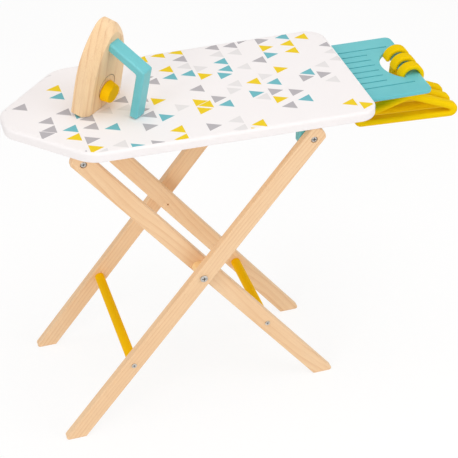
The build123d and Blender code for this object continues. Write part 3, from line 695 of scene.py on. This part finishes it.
# In each strip s is the distance from its base line. A triangle that points to the nose has its base on the
# next base line and its half height is half * (s - start) / length; one that points to the rack mirrors it.
# Each base line shifts its triangles along Y by its own random phase, and a random number for each cell says
# if a triangle is there and in which ink.
def clothLook(printed):
    finish = newFinish("printedCloth")
    point = finish.here()
    x = finish.along(point, (1000, 0, 0))
    y = finish.along(point, (0, 1000, 0))
    z = finish.along(point, (0, 0, 1000))
    seed = printed["seed"]
    run = (x - printed["baseLine"]) / printed["pitchX"]
    strip = run.floor()
    s = run.fraction() * printed["pitchX"]
    lineHere = finish.chance(finish.vector(strip, 0.5, seed))
    lineNext = finish.chance(finish.vector(strip + 1, 0.5, seed))

    climb = y / printed["pitchY"]
    toNose = climb - lineNext
    noseCell = (toNose + 0.5).floor()
    noseFar = abs(toNose - noseCell) * printed["pitchY"]
    grow = (s - (printed["pitchX"] - printed["length"])) / printed["length"]
    noseLuck = finish.chance(finish.vector(strip + 1, noseCell, seed + 3))
    noseShape = ((grow * printed["half"] - noseFar) / printed["blur"] + 0.5).clamped()
    noseShape = noseShape * (noseLuck < printed["noseChance"])

    toRack = climb - lineHere - 0.5
    rackCell = (toRack + 0.5).floor()
    rackFar = abs(toRack - rackCell) * printed["pitchY"]
    shrink = (printed["baseGap"] + printed["length"] - s) / printed["length"]
    rackLuck = finish.chance(finish.vector(strip, rackCell, seed + 8))
    rackShape = ((shrink * printed["half"] - rackFar) / printed["blur"] + 0.5).clamped()
    rackShape = rackShape * ((s - printed["baseGap"]) / printed["blur"] + 0.5).clamped()
    rackShape = rackShape * (rackLuck < printed["rackChance"])
    # one that points to the rack gives way to a close neighbour in its strip
    level = rackCell + lineHere + 0.5 - lineNext
    neighbour = (level + 0.5).floor()
    beside = finish.chance(finish.vector(strip + 1, neighbour, seed + 3)) < printed["noseChance"]
    rackShape = rackShape * (1 - beside * (abs(level - neighbour) < printed["crowd"]))

    stops = [(place, tone(*ink)) for place, ink in printed["inks"]]
    settings = {"interpolation": "CONSTANT", "stops": stops}
    noseInk = finish.node("ShaderNodeValToRGB", settings, {0: noseLuck / printed["noseChance"]})
    rackInk = finish.node("ShaderNodeValToRGB", settings, {0: rackLuck / printed["rackChance"]})
    panel = finish.node("ShaderNodeAttribute", {"attribute_name": "topPanel"}, {}, "Fac").between(0.4, 0.6)
    around = finish.node("ShaderNodeAttribute", {"attribute_name": "wayRound"}, {}, "Fac") * 1000
    down = finish.node("ShaderNodeAttribute", {"attribute_name": "wayDown"}, {}, "Fac") * 1000
    worn = 0.97 + finish.noise(point, 260.0, 2.0) * 0.03
    aged = finish.noise(point, 5.0, 2.0) * 0.35
    colour = finish.blend(aged, tone(*printed["white"]), tone(*printed["shade"]))
    colour = finish.blend(noseShape * panel * worn, colour, noseInk)
    colour = finish.blend(rackShape * panel * worn, colour, rackInk)

    # a plain weave: over and under along X and Y on top, along the way round and Z on the side
    pace = 2 * pi / printed["thread"]
    weaveTop = (x * pace).wave() * (y * pace).wave()
    weaveSide = (around * pace).wave() * (z * pace).wave()
    weave = weaveTop * panel + weaveSide * (1 - panel)
    # the hem's stitches: dashes of the way round on one line of the way down
    sewn = printed["stitch"]
    stitch = ((around / sewn["gap"]).fraction() < sewn["share"]) * (abs(down - sewn["down"]) < sewn["half"])
    colour = finish.blend(stitch * 0.5, colour, tone(*sewn["colour"]))
    creases = finish.noise(point, 22.0, 3.0, 0.55)
    height = weave * 0.12 + creases * 1.6 + stitch * 0.5
    return finish.surface({
        "Base Color": colour,
        "Roughness": 0.82 + weave * 0.05,
        "Specular IOR Level": 0.2,
        "Sheen Weight": 0.06,
        "Sheen Roughness": 0.5,
        "Normal": finish.bump(height, 0.35, 0.0005),
    })


printedCover, topArea, aroundLength = sewCover(board, cover)
printedCover.data.materials.append(clothLook(coverPrint))
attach(printedCover, "board")
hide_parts("board_cover")
# the cut is the outline grown by the side and the hem: area + around * grown + pi * grown squared
grown = board["top"] - board["bottom"] + cover["hem"]
cutArea = (topArea + aroundLength * grown + pi * grown ** 2) * mm ** 2

# the foam pad under the cloth, in millimetres
pad = {
    "steps": 420,
    "inset": 1.2,
    "middleInset": 20.0,
    "bottom": 500.65,
    "top": 504.0,
    "edge": 3.2,
    "pale": (236, 230, 214),
    "deep": (214, 206, 188),
    "cellPace": 1100.0,
    "relief": 0.0004,
}


# A slab carried round the same outline: in along the top, over a quarter circle, down its side and back
# underneath.
def cutPad(shape, foam):
    places, normals, *_ = walkOutline(shape, foam["steps"])
    quarter = np.linspace(0, pi / 2, 7)
    over = np.stack([foam["inset"] + foam["edge"] * (1 - np.sin(quarter)),
                     foam["top"] - foam["edge"] + foam["edge"] * np.cos(quarter)], 1)
    under = [(foam["inset"], foam["bottom"]), (foam["middleInset"], foam["bottom"])]
    profile = np.concatenate([[(foam["middleInset"], foam["top"])], over, under])
    flatPlaces = places[None] - profile[:, None, :1] * normals[None]
    spine = np.stack([flatPlaces[0, :, 0] * shape["spineShare"], 0 * flatPlaces[0, :, 1]], 1)
    flatPlaces = np.concatenate([spine[None], flatPlaces, spine[None]])
    height = np.concatenate([[foam["top"]], profile[:, 1], [foam["bottom"]]])
    points = np.concatenate([flatPlaces, np.repeat(height[:, None, None], len(places), 1)], -1)
    points[..., 0] += shape["shift"]
    return gridPiece("foamPad", points)


# Foam: open cells from a cell pattern, paler between them.
def foamLook(foam):
    finish = newFinish("softFoam")
    point = finish.here()
    cells = finish.node("ShaderNodeTexVoronoi", {}, {"Vector": point, "Scale": foam["cellPace"]})
    colour = finish.blend(cells * 0.8, tone(*foam["pale"]), tone(*foam["deep"]))
    return finish.surface({
        "Base Color": colour,
        "Roughness": 0.95,
        "Normal": finish.bump(cells, 0.4, foam["relief"]),
    })


foamPad = cutPad(board, pad)
foamPad.data.materials.append(foamLook(pad))
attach(foamPad, "board")
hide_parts("board_pad")
print("pad done")

# floor, world and lamps, in metres: level is what a lamp adds to a white surface that faces it at its aim
studio = {
    "floorReach": 30.0,
    "floorTone": (250, 250, 250),
    "floorGlow": 0.8,
    "glowLevel": 1.03,
    "worldTone": (255, 252, 250),
    "worldLevel": 0.55,
    "lamps": {
        "overhead": {"place": (0.1, -0.3, 2.9), "aim": (0, 0, 0.4), "size": 2.2, "level": 0.35},
        "leftFront": {"place": (-2.3, -2.2, 1.8), "aim": (0, 0, 0.35), "size": 1.8, "level": 0.24},
        "rightFront": {"place": (2.2, -1.9, 1.5), "aim": (0, 0, 0.35), "size": 2.6, "level": 0.21},
    },
}


# 1 for rays that come from the camera, or from it by way of metal or glass
def seenRay(finish):
    ray = finish.node("ShaderNodeLightPath", {}, {}, "Is Camera Ray")
    return (ray + ray.pick("Is Glossy Ray") + ray.pick("Is Transmission Ray")).clamped()


def layFloor(plan):
    mesh = bpy.data.meshes.new("studioFloor")
    far = plan["floorReach"]
    mesh.from_pydata([(-far, -far, 0), (far, -far, 0), (far, far, 0), (-far, far, 0)], [], [(0, 1, 2, 3)])
    floor = bpy.data.objects.new("studioFloor", mesh)
    bpy.context.scene.collection.objects.link(floor)
    finish = newFinish("studioFloor")
    matt = finish.node("ShaderNodeBsdfDiffuse", {}, {"Color": tone(*plan["floorTone"])})
    glow = finish.node("ShaderNodeEmission", {}, {"Color": (1, 1, 1, 1), "Strength": plan["glowLevel"]})
    seen = seenRay(finish) * plan["floorGlow"]
    mixed = finish.node("ShaderNodeMixShader", {}, {0: seen, 1: matt, 2: glow})
    finish.node("ShaderNodeOutputMaterial", {}, {"Surface": mixed})
    mesh.materials.append(finish.owner)


def lightStudio(plan):
    world = bpy.data.worlds.new("studioWorld")
    bpy.context.scene.world = world
    sky = Finish(world)
    lit = sky.node("ShaderNodeBackground", {},
                   {"Color": tone(*plan["worldTone"]), "Strength": plan["worldLevel"]})
    plain = sky.node("ShaderNodeBackground", {}, {"Color": (1, 1, 1, 1), "Strength": 1.0})
    mixed = sky.node("ShaderNodeMixShader", {}, {0: seenRay(sky), 1: lit, 2: plain})
    sky.node("ShaderNodeOutputWorld", {}, {"Surface": mixed})
    for name, lamp in plan["lamps"].items():
        light = bpy.data.lights.new(name, "AREA")
        light.shape, light.size = "DISK", lamp["size"]
        reach = Vector(lamp["aim"]) - Vector(lamp["place"])
        light.energy = lamp["level"] * pi ** 2 * reach.length_squared
        holder = bpy.data.objects.new(name, light)
        turn = reach.to_track_quat("-Z", "Y").to_matrix().to_4x4()
        holder.matrix_world = Matrix.Translation(lamp["place"]) @ turn
        bpy.context.scene.collection.objects.link(holder)


layFloor(studio)
lightStudio(studio)
print("studio done")
